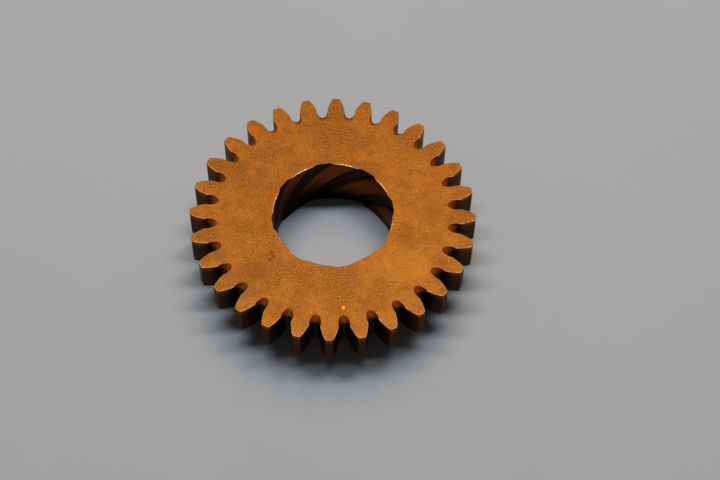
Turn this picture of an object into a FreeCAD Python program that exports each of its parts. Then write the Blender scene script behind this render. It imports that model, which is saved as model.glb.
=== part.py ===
import FreeCAD, Part
import math
import os

import Sketcher
from FreeCAD import Placement, Rotation, Vector

# A spur gear made in one piece: a ring of straight involute teeth, a shorter and narrower boss
# under it, and a bore cut with a shallow left-hand helical spline.
# Frame: the gear's axis is Z, the boss stands on Z = 0 and the toothed ring is on top. The middle
# of one tooth lies on +Y. Lengths are in millimetres and angles in degrees.

DIMENSIONS = {
    # teeth
    "tooth_module": 1.5,
    "tooth_count": 28,
    "pressure_angle": 20,
    "root_clearance": 0.25,          # of one module, below the working depth
    "tooth_thickness": 2.47,         # along the pitch circle
    "face_width": 5.6,
    "tip_rounding": 0.25,
    "edge_break": 0.15,
    # sloping relief at the toothed end of each root
    "relief_radius": 0.9,
    "relief_slope": 34,              # below the end face, towards the tips
    "relief_start": 0.95,            # how far inside the root circle it breaks the end face
    # boss
    "boss_height": 4.4,
    "boss_diameter": 30.5,
    "boss_chamfer": 0.5,
    # helical spline in the bore
    "spline_starts": 8,
    "spline_lead": 64,
    "land_diameter": 18.7,
    "groove_diameter": 19.35,
    "groove_floor_angle": 11,
    "steep_flank_angle": 8,
    "gentle_flank_angle": 10,
    "groove_middle_angle": 34.2,     # clockwise from +Y to a groove's middle, at the top face
    "mouth_rounding": 0.15,
}

SHEET = "Dimensions"
OVERRUN = 1.0                        # how far a cutter stands clear of the solid it cuts
TOLERANCE = 1e-4                     # for telling which edge is which


def cell(alias):
    """Name a dimension the way an expression writes it."""
    return f"{SHEET}.{alias}"


PITCH_RADIUS = f"({cell('tooth_module')} * {cell('tooth_count')} / 2)"
TIP_RADIUS = f"({PITCH_RADIUS} + {cell('tooth_module')})"
ROOT_RADIUS = f"({PITCH_RADIUS} - {cell('tooth_module')} * (1 + {cell('root_clearance')}))"
BASE_RADIUS = f"({PITCH_RADIUS} * cos({cell('pressure_angle')} * 1 deg))"
BOSS_RADIUS = f"({cell('boss_diameter')} / 2)"
LAND_RADIUS = f"({cell('land_diameter')} / 2)"
GROOVE_RADIUS = f"({cell('groove_diameter')} / 2)"
TOTAL_HEIGHT = f"({cell('boss_height')} + {cell('face_width')})"
HALF_PITCH_ANGLE = f"(180 / {cell('tooth_count')})"
HALF_TOOTH_ANGLE = f"(90 / pi * {cell('tooth_thickness')} / {PITCH_RADIUS})"


# Helpers: the sheet, sketches and edges

def make_sheet(doc):
    """Write the driving dimensions into a spreadsheet, one alias to a row."""
    sheet = doc.addObject("Spreadsheet::Sheet", SHEET)
    for row, (alias, value) in enumerate(DIMENSIONS.items(), start=1):
        sheet.set(f"A{row}", alias)
        sheet.set(f"B{row}", str(value))
        sheet.setAlias(f"B{row}", alias)
    doc.recompute()


def read(doc, expression):
    """Work out an expression's value from the sheet."""
    value = doc.getObject(SHEET).evalExpression(expression)
    return float(getattr(value, "Value", value))


def origin_feature(body, role):
    """Find one of a body's own origin planes or axes."""
    return next(item for item in body.Origin.OriginFeatures if item.Role == role)


def new_sketch(body, name, plane):
    """Start a sketch on one of the body's origin planes."""
    sketch = body.newObject("Sketcher::SketchObject", name)
    sketch.AttachmentSupport = [(origin_feature(body, plane), "")]
    sketch.MapMode = "FlatFace"
    return sketch


def bind(sketch, kind, *where, to):
    """Add a sketch dimension and tie it to an expression."""
    value = read(sketch.Document, to)
    index = sketch.addConstraint(Sketcher.Constraint(kind, *where, value))
    sketch.setExpression(f"Constraints[{index}]", to)


def pin(sketch, geometry, point, across, up):
    """Place a point of a sketch by two expressions, measured from the sketch's origin."""
    bind(sketch, "DistanceX", -1, 1, geometry, point, to=across)
    bind(sketch, "DistanceY", -1, 1, geometry, point, to=up)


def draw_outline(doc, sketch, corners):
    """Draw a closed outline of straight lines whose corners are (across, up) expressions."""
    places = [Vector(read(doc, across), read(doc, up), 0) for across, up in corners]
    following = [(index + 1) % len(corners) for index in range(len(corners))]
    for index, after in enumerate(following):
        sketch.addGeometry(Part.LineSegment(places[index], places[after]), False)
    for index, after in enumerate(following):
        sketch.addConstraint(Sketcher.Constraint("Coincident", index, 2, after, 1))
    for index, (across, up) in enumerate(corners):
        pin(sketch, index, 1, across, up)


def polar(radius, angle):
    """Give a point's two expressions from its radius and its angle from the sketch's X axis."""
    return f"{radius} * cos(({angle}) * 1 deg)", f"{radius} * sin(({angle}) * 1 deg)"


def edges_where(shape, test):
    """Name the edges that pass a test, the way a dress-up feature lists them."""
    return [f"Edge{number}" for number, edge in enumerate(shape.Edges, start=1) if test(edge)]


def ring_test(radius, height=None):
    """Make a test for a circular edge round the axis, at one height or at any."""
    def is_ring(edge):
        circle = edge.Curve
        if not isinstance(circle, Part.Circle) or abs(circle.Radius - radius) > TOLERANCE:
            return False
        if math.hypot(circle.Center.x, circle.Center.y) > TOLERANCE:
            return False
        return height is None or abs(circle.Center.z - height) < TOLERANCE
    return is_ring


def break_edges(doc, body, kind, name, size, test):
    """Chamfer or fillet every edge of the body so far that passes a test."""
    base = body.Tip
    feature = body.newObject(f"PartDesign::{kind}", name)
    feature.Base = (base, edges_where(base.Shape, test))
    feature.setExpression("Radius" if kind == "Fillet" else "Size", size)
    doc.recompute()


def repeat_round(doc, body, name, cut, count):
    """Repeat a cut evenly round the gear's axis."""
    pattern = body.newObject("PartDesign::PolarPattern", name)
    pattern.Originals = [cut]
    pattern.Axis = (origin_feature(body, "Z_Axis"), [""])
    pattern.Angle = 360
    pattern.setExpression("Occurrences", count)
    body.Tip = pattern
    doc.recompute()


# The gear, in the order in which it is machined

def turn_blank(doc, body):
    """Turn the boss and the toothless ring, and bore them to the spline's lands."""
    section = new_sketch(body, "BlankSection", "XZ_Plane")
    draw_outline(doc, section, [
        (LAND_RADIUS, "0"),
        (BOSS_RADIUS, "0"),
        (BOSS_RADIUS, cell("boss_height")),
        (TIP_RADIUS, cell("boss_height")),
        (TIP_RADIUS, TOTAL_HEIGHT),
        (LAND_RADIUS, TOTAL_HEIGHT),
    ])
    blank = body.newObject("PartDesign::Revolution", "Blank")
    blank.Profile = section
    blank.ReferenceAxis = (section, ["V_Axis"])
    blank.Angle = 360
    doc.recompute()


def dress_blank(doc, body):
    """Round the bore's two mouths and chamfer the boss's outer edge."""
    mouths = ring_test(read(doc, LAND_RADIUS))
    boss_end = ring_test(read(doc, BOSS_RADIUS), 0)
    break_edges(doc, body, "Fillet", "MouthRounding", cell("mouth_rounding"), mouths)
    break_edges(doc, body, "Chamfer", "BossChamfer", cell("boss_chamfer"), boss_end)


def draw_tooth_space(doc, body):
    """Draw the space between two teeth, centred on the sketch's vertical axis.

    Each flank is the arc that matches the involute at the pitch circle: its centre is on the base
    circle, half a space and one pressure angle away from the middle. A round root joins the two:
    it touches both flanks and reaches down to the root circle.
    """
    sketch = new_sketch(body, "ToothSpace", "XY_Plane")
    sketch.setExpression(".AttachmentOffset.Base.z", TOTAL_HEIGHT)
    sketch.setExpression(".AttachmentOffset.Rotation.Angle", f"{HALF_PITCH_ANGLE} * 1 deg")

    lean = f"(({HALF_PITCH_ANGLE} - {HALF_TOOTH_ANGLE} + {cell('pressure_angle')}) * 1 deg)"
    centre_x = f"({BASE_RADIUS} * sin({lean}))"
    centre_y = f"({BASE_RADIUS} * cos({lean}))"
    flank = f"({PITCH_RADIUS} * sin({cell('pressure_angle')} * 1 deg))"
    rise = f"({centre_y} - {ROOT_RADIUS})"
    rounding = f"(({centre_x} ^ 2 + {rise} ^ 2 - {flank} ^ 2) / (2 * ({flank} + {rise})))"
    share = f"({rounding} / ({flank} + {rounding}))"
    touch_x = f"({centre_x} * {share})"
    touch_y = f"({ROOT_RADIUS} + {rounding} + ({rise} - {rounding}) * {share})"
    lid_y = f"({TIP_RADIUS} + {OVERRUN})"
    lid_x = f"({centre_x} - sqrt({flank} ^ 2 - ({lid_y} - {centre_y}) ^ 2))"

    def point(across, up, side=1):
        return Vector(side * read(doc, across), read(doc, up), 0)

    def add_arc(centre, start, end):
        first = math.atan2(start.y - centre.y, start.x - centre.x)
        last = math.atan2(end.y - centre.y, end.x - centre.x)
        circle = Part.Circle(centre, Vector(0, 0, 1), centre.distanceToPoint(start))
        return sketch.addGeometry(Part.ArcOfCircle(circle, first, last), False)

    bottom = point("0", ROOT_RADIUS)
    root_centre = bottom + Vector(0, read(doc, rounding), 0)
    root_arc = add_arc(root_centre, point(touch_x, touch_y, -1), point(touch_x, touch_y))
    right_arc = add_arc(point(centre_x, centre_y), point(lid_x, lid_y), point(touch_x, touch_y))
    left_arc = add_arc(
        point(centre_x, centre_y, -1), point(touch_x, touch_y, -1), point(lid_x, lid_y, -1)
    )
    lid = sketch.addGeometry(Part.LineSegment(point(lid_x, lid_y), point(lid_x, lid_y, -1)), False)
    lowest = sketch.addGeometry(Part.Point(bottom), True)

    pin(sketch, lowest, 1, "0", ROOT_RADIUS)
    for arc, side, high, low in ((right_arc, "", 1, 2), (left_arc, "-1 * ", 2, 1)):
        pin(sketch, arc, 3, side + centre_x, centre_y)
        bind(sketch, "Radius", arc, to=flank)
        bind(sketch, "DistanceY", -1, 1, arc, low, to=touch_y)
        bind(sketch, "DistanceY", -1, 1, arc, high, to=lid_y)
    sketch.addConstraint([
        Sketcher.Constraint("Coincident", root_arc, 2, right_arc, 2),
        Sketcher.Constraint("Coincident", root_arc, 1, left_arc, 1),
        Sketcher.Constraint("PointOnObject", lowest, 1, root_arc),
        Sketcher.Constraint("Coincident", lid, 1, right_arc, 1),
        Sketcher.Constraint("Coincident", lid, 2, left_arc, 2),
    ])
    return sketch


def cut_teeth(doc, body):
    """Cut one tooth space through the ring and repeat it round the axis."""
    sketch = draw_tooth_space(doc, body)
    space = body.newObject("PartDesign::Pocket", "ToothCut")
    space.Profile = sketch
    space.setExpression("Length", cell("face_width"))
    repeat_round(doc, body, "Teeth", space, cell("tooth_count"))


def dress_teeth(doc, body):
    """Round the corners of the tooth tips, then the edges of both sides of the ring."""
    tip = read(doc, TIP_RADIUS)
    boss = read(doc, BOSS_RADIUS)
    sides = (read(doc, cell("boss_height")), read(doc, TOTAL_HEIGHT))

    def is_tip_corner(edge):
        ends = [vertex.Point for vertex in edge.Vertexes]
        upright = len(ends) == 2 and abs(ends[0].z - ends[1].z) > TOLERANCE
        return upright and all(abs(math.hypot(end.x, end.y) - tip) < TOLERANCE for end in ends)

    def is_tooth_outline(edge):
        box = edge.BoundBox
        level = any(abs(box.ZMin - z) + abs(box.ZMax - z) < TOLERANCE for z in sides)
        outside = all(math.hypot(end.X, end.Y) > boss + TOLERANCE for end in edge.Vertexes)
        return level and outside

    break_edges(doc, body, "Fillet", "TipRounding", cell("tip_rounding"), is_tip_corner)
    break_edges(doc, body, "Fillet", "EdgeBreak", cell("edge_break"), is_tooth_outline)


def relieve_roots(doc, body):
    """Cut a round-bottomed slope into the top of each root, falling towards the tips."""
    slope = math.radians(read(doc, cell("relief_slope")))
    radius = read(doc, cell("relief_radius"))
    start = read(doc, f"{ROOT_RADIUS} - {cell('relief_start')}")
    middle = math.radians(90 + read(doc, HALF_PITCH_ANGLE))
    upward = Vector(0, 0, 1)
    outward = Vector(math.cos(middle), math.sin(middle), 0)
    along = outward * math.cos(slope) - upward * math.sin(slope)
    above = outward * math.sin(slope) + upward * math.cos(slope)
    entry = outward * start + upward * read(doc, TOTAL_HEIGHT)
    back = 3 * radius                # from the entry up to the cutter's other end
    relief = body.newObject("PartDesign::SubtractiveCylinder", "RootRelief")
    relief.setExpression("Radius", cell("relief_radius"))
    relief.setExpression("Height", f"9 * {cell('relief_radius')}")
    relief.Placement = Placement(entry + above * radius - along * back, Rotation(upward, along))
    repeat_round(doc, body, "Reliefs", relief, cell("tooth_count"))


def cut_spline(doc, body):
    """Sweep one groove along the left-hand helix and repeat it for every start.

    The cutter starts clear of the top face, turned back by what the helix turns in that distance,
    and it reaches inwards past the lands so that nothing is left standing in the bore.
    """
    middle = f"90 - {cell('groove_middle_angle')} - {OVERRUN} * 360 / {cell('spline_lead')}"
    half_floor = f"{cell('groove_floor_angle')} / 2"
    sketch = new_sketch(body, "GrooveSection", "XY_Plane")
    sketch.setExpression(".AttachmentOffset.Base.z", f"{TOTAL_HEIGHT} + {OVERRUN}")
    draw_outline(doc, sketch, [
        polar(GROOVE_RADIUS, f"{middle} - {half_floor}"),
        polar(GROOVE_RADIUS, f"{middle} + {half_floor}"),
        polar(LAND_RADIUS, f"{middle} + {half_floor} + {cell('steep_flank_angle')}"),
        polar(f"{LAND_RADIUS} / 2", middle),
        polar(LAND_RADIUS, f"{middle} - {half_floor} - {cell('gentle_flank_angle')}"),
    ])
    groove = body.newObject("PartDesign::SubtractiveHelix", "Groove")
    groove.Profile = sketch
    groove.ReferenceAxis = (sketch, ["N_Axis"])
    groove.Mode = "pitch-height-angle"
    groove.setExpression("Pitch", cell("spline_lead"))
    groove.setExpression("Height", f"{TOTAL_HEIGHT} + 2 * {OVERRUN}")
    groove.LeftHanded = True
    groove.Reversed = True
    doc.recompute()
    repeat_round(doc, body, "Spline", groove, cell("spline_starts"))


def make_gear(doc):
    """Machine the gear step by step, and make sure that every cut takes metal off."""
    body = doc.addObject("PartDesign::Body", "SplinedSpurGear")
    body.Label = "splined_spur_gear"
    turn_blank(doc, body)
    for step in (dress_blank, cut_teeth, dress_teeth, relieve_roots, cut_spline):
        before = body.Shape.Volume
        step(doc, body)
        removed = before - body.Shape.Volume
        print(f"{step.__name__}: {removed:.1f} mm3 removed")
        if removed <= 0:
            raise RuntimeError(f"{step.__name__} took nothing off")
    return body


def check(doc, bodies):
    """Stop if any object failed to recompute or any sub-part is not one sound solid."""
    failed = [item.Name for item in doc.Objects if {"Invalid", "Error"} & set(item.State)]
    if failed:
        raise RuntimeError(f"failed objects: {failed}")
    for body in bodies:
        shape = body.Shape
        if shape.isNull() or not shape.isValid() or len(shape.Solids) != 1:
            raise RuntimeError(f"{body.Label} is not one sound solid")


def build():
    doc = FreeCAD.newDocument("SplinedSpurGear")
    make_sheet(doc)
    bodies = [make_gear(doc)]
    check(doc, bodies)
    os.makedirs("parts", exist_ok=True)
    for body in bodies:
        body.Shape.exportStep(f"parts/{body.Label}.step")
        print(f"{body.Label}: {body.Shape.Volume:.1f} mm3")


build()
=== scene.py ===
import math
from collections import namedtuple

import bpy
from mathutils import Matrix, Vector


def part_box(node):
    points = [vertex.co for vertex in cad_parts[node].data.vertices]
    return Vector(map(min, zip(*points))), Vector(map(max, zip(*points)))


# The gear's axis is Z, and it stands on Z = 0. Lengths are in metres, but the material's places,
# radii and heights are in millimetres.
NODE = "splined_spur_gear"
MM_PER_METRE = 1000.0

# Camera: angles in degrees, about the middle of the gear's upper face.
CAMERA_AZIMUTH = -0.168              # turned so that the tooth on +Y stands where it should
CAMERA_ELEVATION = 58.4912
CAMERA_ROLL = 1.312
CAMERA_DISTANCE = 0.25936
CAMERA_ACROSS = 0.004266             # the aim point's offsets in the picture's plane
CAMERA_UP = -0.004089
LENS_MM = 82.5
SENSOR_MM = 36.0

FLOOR_HALF = 1.5
FLOOR_GAP = 0.00002                  # the floor lies a hair under the boss, so no faces coincide
WORLD_STRENGTH = 0.08

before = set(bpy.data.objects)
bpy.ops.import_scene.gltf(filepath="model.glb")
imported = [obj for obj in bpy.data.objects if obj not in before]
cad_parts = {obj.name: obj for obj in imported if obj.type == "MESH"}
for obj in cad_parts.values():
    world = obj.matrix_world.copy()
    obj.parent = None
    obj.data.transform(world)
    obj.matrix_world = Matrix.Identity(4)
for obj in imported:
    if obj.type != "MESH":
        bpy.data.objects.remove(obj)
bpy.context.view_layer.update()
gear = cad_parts[NODE]
gear_low, gear_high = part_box(NODE)


def linear(red, green, blue):
    """Turn a colour as the eye sees it, 0 to 255, into the linear colour that a shader takes."""
    def channel(value):
        value = value / 255
        return value / 12.92 if value <= 0.04045 else ((value + 0.055) / 1.055) ** 2.4
    return (channel(red), channel(green), channel(blue), 1.0)


# Colours of the metal
FACE = linear(106, 62, 19)
FACE_CLOUD = linear(86, 48, 13)
BLOTCH = linear(70, 36, 10)
GRAIN = linear(123, 75, 26)
SPECK = linear(164, 112, 54)
# Root reliefs: the lower colour is the relief's own; the upper one is a painted reflection, a lit
# band under the top edge
RELIEF_BOTTOM = linear(120, 60, 22)
RELIEF_PAINTED_REFLECTION = linear(204, 102, 34)
# Tooth walls: the lower colour is dark oily brown darkened further as painted shade; the upper
# colour is a painted reflection, a lit band under the top edge
WALL_OIL_AND_PAINTED_SHADE = linear(68, 48, 39)
WALL_PAINTED_REFLECTION = linear(160, 80, 33)
LAND = linear(118, 63, 31)
LAND_RUST = linear(140, 52, 20)
# Bore: the groove colour is partly oily dark and partly painted shade in the recesses; the foot
# colour is painted shade deep in the bore
GROOVE_OIL_AND_PAINTED_SHADE = linear(50, 33, 25)
BORE_FOOT_PAINTED_SHADE = linear(32, 19, 14)
# rubbed edges, made bright partly as a painted highlight along the rounded edges
WORN_EDGE_AND_PAINTED_HIGHLIGHT = linear(255, 206, 140)

# Colours of the marks on the upper face, among them patches of painted shade and painted light
STAIN = linear(140, 62, 12)
RIM_STAIN = linear(116, 50, 12)
PIT = linear(74, 34, 10)
DENT = linear(186, 112, 46)
DULL = linear(72, 41, 16)
DULL_GREY = linear(88, 57, 31)
# painted shade: darkens the face towards the lower left and the front
PAINTED_SHADE_BROWN = linear(74, 41, 15)
# painted shade: darkens the right side of the face
PAINTED_SHADE_GOLD = linear(84, 47, 14)
# painted light: brightens the face towards the front right
PAINTED_LIGHT_PATCH = linear(136, 88, 29)

PAPER_DARK = (0.29, 0.29, 0.292, 1.0)
PAPER_LIGHT = (0.31, 0.31, 0.31, 1.0)

# The marks: middle and size in millimetres, how strongly they cover the metal, and colour
Mark = namedtuple("Mark", "x y size strength colour")
MARKS = (
    Mark(-13.1, 15.9, 1.0, 0.70, STAIN),
    Mark(-9.8, 2.9, 0.7, 0.70, RIM_STAIN),
    Mark(-10.0, 1.9, 0.6, 0.60, RIM_STAIN),
    Mark(-9.3, -7.3, 0.40, 0.80, PIT),
    Mark(-9.0, -8.0, 0.40, 0.80, PIT),
    Mark(-9.5, -8.5, 0.40, 0.70, PIT),
    Mark(2.0, -16.8, 0.35, 0.90, DENT),
    Mark(-14.5, 8.8, 1.6, 0.30, DULL),
    Mark(-11.4, 7.6, 1.4, 0.30, DULL),
    Mark(-14.1, 1.2, 1.0, 0.25, DULL),
    Mark(-17.3, -8.0, 1.5, 0.60, DULL_GREY),
    Mark(-15.6, -11.6, 1.5, 0.60, DULL_GREY),
    Mark(-12.8, -14.6, 1.5, 0.60, DULL_GREY),
    # painted shade on the lower left of the face
    Mark(-11.3, -10.6, 2.0, 0.25, PAINTED_SHADE_BROWN),
    # painted shade on the right side of the face
    Mark(15.4, 0.5, 2.4, 0.30, PAINTED_SHADE_GOLD),
    # painted shade near the front of the face
    Mark(-4.0, -13.5, 2.6, 0.15, PAINTED_SHADE_BROWN),
    # painted light on the front right of the face
    Mark(11.5, -9.2, 4.6, 0.33, PAINTED_LIGHT_PATCH),
)

# Where one surface of the gear gives way to the next, as radii and heights in millimetres
BORE_TO_FACE = (9.8, 9.9)
LAND_TO_GROOVE = (9.42, 9.56)
RELIEF_TO_TOOTH = (20.0, 20.4)
RELIEF_HEIGHTS = (8.9, 10.0)         # from RELIEF_BOTTOM, the relief's own colour, up to the painted lit band under the top edge
WALL_HEIGHTS = (8.6, 10.2)           # from the wall's dark foot, oily brown with painted shade, up to the painted lit band under the top edge
BORE_HEIGHTS = (0.5, 7.0)            # from the painted shade at the bore's foot up to the lands and grooves
BORE_SHADE_SLANT = 0.4                     # how much higher the painted shade at the foot reaches towards -X

# How level a surface is: 1 is level and 0 is upright. A band has where it starts and where it ends.
UPRIGHT_TO_LEVEL = (0.35, 0.45)
BORE_LEVEL_SHIFT = -0.5              # counts the rounded mouth's steep part with the bore's wall
RELIEF_BAND = ((0.15, 0.35), (0.88, 0.93))
EDGE_BAND = ((0.50, 0.70), (0.95, 0.985))


class Graph:
    """Builds one material's nodes with short calls."""

    def __init__(self, name):
        self.material = bpy.data.materials.new(name)
        self.material.use_nodes = True
        self.tree = self.material.node_tree
        self.tree.nodes.clear()

    def put(self, kind, **settings):
        node = self.tree.nodes.new(kind)
        for name, value in settings.items():
            setattr(node, name, value)
        return node

    def feed(self, socket, value):
        """Link a socket to another node's output, or write a constant on it."""
        if isinstance(value, bpy.types.NodeSocket):
            self.tree.links.new(value, socket)
        else:
            socket.default_value = value

    def math(self, operation, *values):
        node = self.put("ShaderNodeMath", operation=operation)
        for socket, value in zip(node.inputs, values):
            self.feed(socket, value)
        return node.outputs[0]

    def product(self, first, *others):
        for other in others:
            first = self.math("MULTIPLY", first, other)
        return first

    def opposite(self, share):
        return self.math("SUBTRACT", 1.0, share)

    def split(self, vector):
        node = self.put("ShaderNodeSeparateXYZ")
        self.feed(node.inputs[0], vector)
        return node.outputs

    def step(self, value, low, high, start=0.0, end=1.0):
        """Go smoothly from start to end while value goes from low to high."""
        node = self.put("ShaderNodeMapRange", interpolation_type="SMOOTHSTEP")
        for socket, item in zip(node.inputs, (value, low, high, start, end)):
            self.feed(socket, item)
        return node.outputs[0]

    def band(self, value, start, end):
        """Go smoothly from 0 up to 1 in the first range, and down to 0 again in the second."""
        return self.product(self.step(value, *start), self.step(value, *end, 1.0, 0.0))

    def noise(self, place, scale, detail, roughness):
        node = self.put("ShaderNodeTexNoise")
        self.feed(node.inputs["Vector"], place)
        self.feed(node.inputs["Scale"], scale)
        self.feed(node.inputs["Detail"], detail)
        self.feed(node.inputs["Roughness"], roughness)
        return node.outputs["Fac"]

    def mix(self, factor, first, second):
        node = self.put("ShaderNodeMix", data_type="RGBA")
        self.feed(node.inputs["Factor"], factor)
        self.feed(node.inputs[6], first)
        self.feed(node.inputs[7], second)
        return node.outputs[2]

    def mix_numbers(self, factor, first, second):
        node = self.put("ShaderNodeMix", data_type="FLOAT")
        self.feed(node.inputs[0], factor)
        self.feed(node.inputs[2], first)
        self.feed(node.inputs[3], second)
        return node.outputs[0]

    def bump(self, height, strength, distance, normal=None):
        node = self.put("ShaderNodeBump")
        self.feed(node.inputs["Height"], height)
        self.feed(node.inputs["Strength"], strength)
        self.feed(node.inputs["Distance"], distance)
        if normal is not None:
            self.feed(node.inputs["Normal"], normal)
        return node.outputs["Normal"]

    def finish(self, shader):
        output = self.put("ShaderNodeOutputMaterial")
        self.tree.links.new(shader.outputs[0], output.inputs["Surface"])
        return self.material


def face_colour(g, place, middle, fine):
    """Colour the face: broad clouds, then blotches, then single grains, then its marks, among them
    patches of painted shade and painted light.
    """
    broad = g.noise(place, 0.16, 2.0, 0.6)
    specks = g.noise(place, 4.6, 1.0, 0.5)
    colour = g.mix(g.step(broad, 0.38, 0.62), FACE, FACE_CLOUD)
    colour = g.mix(g.step(middle, 0.46, 0.68, 0.0, 0.68), colour, BLOTCH)
    colour = g.mix(g.step(fine, 0.42, 0.62, 0.0, 0.75), colour, GRAIN)
    colour = g.mix(g.step(specks, 0.60, 0.72, 0.0, 0.55), colour, SPECK)

    for mark in MARKS:
        distance = g.put("ShaderNodeVectorMath", operation="DISTANCE")
        g.feed(distance.inputs[0], place)
        distance.inputs[1].default_value = (mark.x, mark.y, gear_high.z * MM_PER_METRE)
        ragged = g.math("MULTIPLY", middle, 0.6 * mark.size)
        reach = g.math("ADD", distance.outputs["Value"], ragged)
        cover = g.step(reach, 1.4 * mark.size, 0.7 * mark.size, 0.0, mark.strength)
        colour = g.mix(cover, colour, mark.colour)
    return colour


def bore_colour(g, x, z, radius, middle):
    """Colour the bore: rusty lands, grooves dark partly from oil and partly as painted shade, and
    painted shade at the foot, highest on the -X side.
    """
    lands = g.mix(g.step(middle, 0.48, 0.64, 0.0, 0.5), LAND, LAND_RUST)
    wall = g.mix(g.step(radius, *LAND_TO_GROOVE), lands, GROOVE_OIL_AND_PAINTED_SHADE)
    height = g.math("ADD", z, g.math("MULTIPLY", x, BORE_SHADE_SLANT))
    # painted shade at the foot of the bore, reaching higher on the -X side
    return g.mix(g.step(height, *BORE_HEIGHTS), BORE_FOOT_PAINTED_SHADE, wall)


def bronze():
    """Sintered bronze: a grainy gold-brown face, dark oily walls with painted shade low down and a
    painted lit band under the top edge, and rubbed edges made brighter, partly as a painted
    highlight.
    """
    g = Graph("sintered_bronze")
    coordinates = g.put("ShaderNodeTexCoord")
    scaled = g.put("ShaderNodeVectorMath", operation="SCALE")
    g.feed(scaled.inputs[0], coordinates.outputs["Object"])
    scaled.inputs["Scale"].default_value = MM_PER_METRE
    place = scaled.outputs[0]
    x, y, z = g.split(place)
    radius = g.math("SQRT", g.math("ADD", g.math("MULTIPLY", x, x), g.math("MULTIPLY", y, y)))
    geometry = g.put("ShaderNodeNewGeometry")
    level = g.math("ABSOLUTE", g.split(geometry.outputs["True Normal"])[2])
    middle = g.noise(place, 0.8, 4.0, 0.70)
    fine = g.noise(place, 4.2, 2.0, 0.6)

    # the share that each kind of surface has in a point: 0 or 1, and in between where they meet
    bore = g.step(radius, *BORE_TO_FACE, 1.0, 0.0)
    steepness = g.math("ADD", level, g.math("MULTIPLY", bore, BORE_LEVEL_SHIFT))
    wall = g.step(steepness, *UPRIGHT_TO_LEVEL, 1.0, 0.0)
    near_root = g.step(radius, *RELIEF_TO_TOOTH, 1.0, 0.0)
    relief = g.product(g.band(level, *RELIEF_BAND), near_root, g.opposite(bore))
    edge = g.product(g.band(level, *EDGE_BAND), g.opposite(relief))

    colour = face_colour(g, place, middle, fine)
    # the relief lightens towards the top edge as a painted reflection
    relief_painted_light_colour = g.mix(g.step(z, *RELIEF_HEIGHTS), RELIEF_BOTTOM, RELIEF_PAINTED_REFLECTION)
    colour = g.mix(relief, colour, relief_painted_light_colour)
    # painted light on the tooth walls: painted shade low down, a painted reflection as a lit band
    # under the top edge
    outer_wall_painted_light = g.mix(g.step(z, *WALL_HEIGHTS), WALL_OIL_AND_PAINTED_SHADE, WALL_PAINTED_REFLECTION)
    colour = g.mix(wall, colour, g.mix(bore, outer_wall_painted_light, bore_colour(g, x, z, radius, middle)))
    # rounded edges brightened, partly as wear and partly as a painted highlight
    colour = g.mix(g.math("MULTIPLY", edge, 0.75), colour, WORN_EDGE_AND_PAINTED_HIGHLIGHT)

    face_roughness = g.step(fine, 0.3, 0.7, 0.44, 0.56)
    oily = g.step(middle, 0.35, 0.65, 0.32, 0.42)
    wall_roughness = g.math("ADD", oily, g.math("MULTIPLY", bore, -0.03))

    shader = g.put("ShaderNodeBsdfPrincipled")
    g.feed(shader.inputs["Base Color"], colour)
    shader.inputs["Metallic"].default_value = 1.0
    shader.inputs["Specular Tint"].default_value = (0.66, 0.57, 0.51, 1.0)
    g.feed(shader.inputs["Roughness"], g.mix_numbers(wall, face_roughness, wall_roughness))
    grain = g.bump(fine, 0.5, 0.00004)
    g.feed(shader.inputs["Normal"], g.bump(middle, 0.25, 0.00010, grain))
    return g.finish(shader)


def paper():
    """Plain pale table top, faintly clouded."""
    g = Graph("pale_floor")
    coordinates = g.put("ShaderNodeTexCoord")
    clouds = g.noise(coordinates.outputs["Object"], 30.0, 3.0, 0.5)
    shader = g.put("ShaderNodeBsdfPrincipled")
    g.feed(shader.inputs["Base Color"], g.mix(clouds, PAPER_DARK, PAPER_LIGHT))
    shader.inputs["Roughness"].default_value = 0.9
    return g.finish(shader)


def add_floor():
    """Lay a large square under the gear."""
    level = gear_low.z - FLOOR_GAP
    corners = [
        (side_x * FLOOR_HALF, side_y * FLOOR_HALF, level)
        for side_x, side_y in ((-1, -1), (1, -1), (1, 1), (-1, 1))
    ]
    mesh = bpy.data.meshes.new("floor")
    mesh.from_pydata(corners, [], [(0, 1, 2, 3)])
    floor = bpy.data.objects.new("floor", mesh)
    bpy.context.scene.collection.objects.link(floor)
    floor.data.materials.append(paper())


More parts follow.
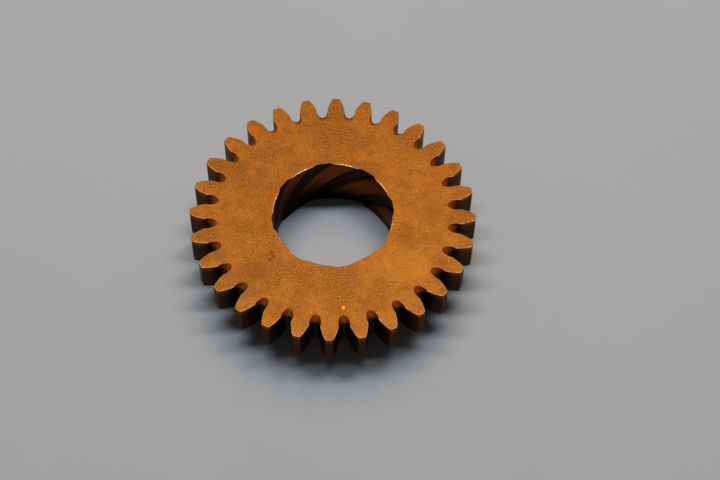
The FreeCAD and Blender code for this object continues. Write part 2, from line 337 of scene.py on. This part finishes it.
def add_light(name, place, width, depth, energy, colour):
    """Add a rectangular area light that points at the middle of the table."""
    light = bpy.data.lights.new(name, "AREA")
    light.shape = "RECTANGLE"
    light.size = width
    light.size_y = depth
    light.energy = energy
    light.color = colour
    item = bpy.data.objects.new(name, light)
    item.location = place
    item.rotation_euler = (-Vector(place)).to_track_quat("-Z", "Y").to_euler()
    bpy.context.scene.collection.objects.link(item)


def add_world():
    """Fill the shadows with a weak white light from all round."""
    world = bpy.data.worlds.new("studio")
    world.use_nodes = True
    background = world.node_tree.nodes["Background"]
    background.inputs["Color"].default_value = (1.0, 1.0, 1.0, 1.0)
    background.inputs["Strength"].default_value = WORLD_STRENGTH
    bpy.context.scene.world = world


def add_camera():
    """Set the camera on a sphere round the upper face, then slide it in its picture plane."""
    turn = math.radians(CAMERA_AZIMUTH)
    rise = math.radians(CAMERA_ELEVATION)
    back = Vector((
        math.sin(turn) * math.cos(rise), -math.cos(turn) * math.cos(rise), math.sin(rise)
    ))
    right = Vector((math.cos(turn), math.sin(turn), 0))
    up = back.cross(right)
    roll = Matrix.Rotation(math.radians(CAMERA_ROLL), 3, back)
    right = roll @ right
    up = roll @ up
    centre = Vector((0, 0, gear_high.z))
    place = centre + right * CAMERA_ACROSS + up * CAMERA_UP + back * CAMERA_DISTANCE
    camera = bpy.data.objects.new("camera", bpy.data.cameras.new("camera"))
    camera.data.lens = LENS_MM
    camera.data.sensor_width = SENSOR_MM
    camera.matrix_world = Matrix.Translation(place) @ Matrix((right, up, back)).transposed().to_4x4()
    bpy.context.scene.collection.objects.link(camera)
    bpy.context.scene.camera = camera


gear.data.materials.clear()
gear.data.materials.append(bronze())

add_floor()
add_light(
    "cool_strip", place=(-0.01, 0.125, 0.62), width=0.62, depth=0.055, energy=4.02,
    colour=(0.75, 0.885, 1.0),
)
add_light(
    "warm_panel", place=(0.02, 0.26, 0.50), width=0.32, depth=0.32, energy=1.95,
    colour=(1.0, 0.74, 0.53),
)
add_world()
bpy.context.scene.view_settings.view_transform = "Standard"
add_camera()
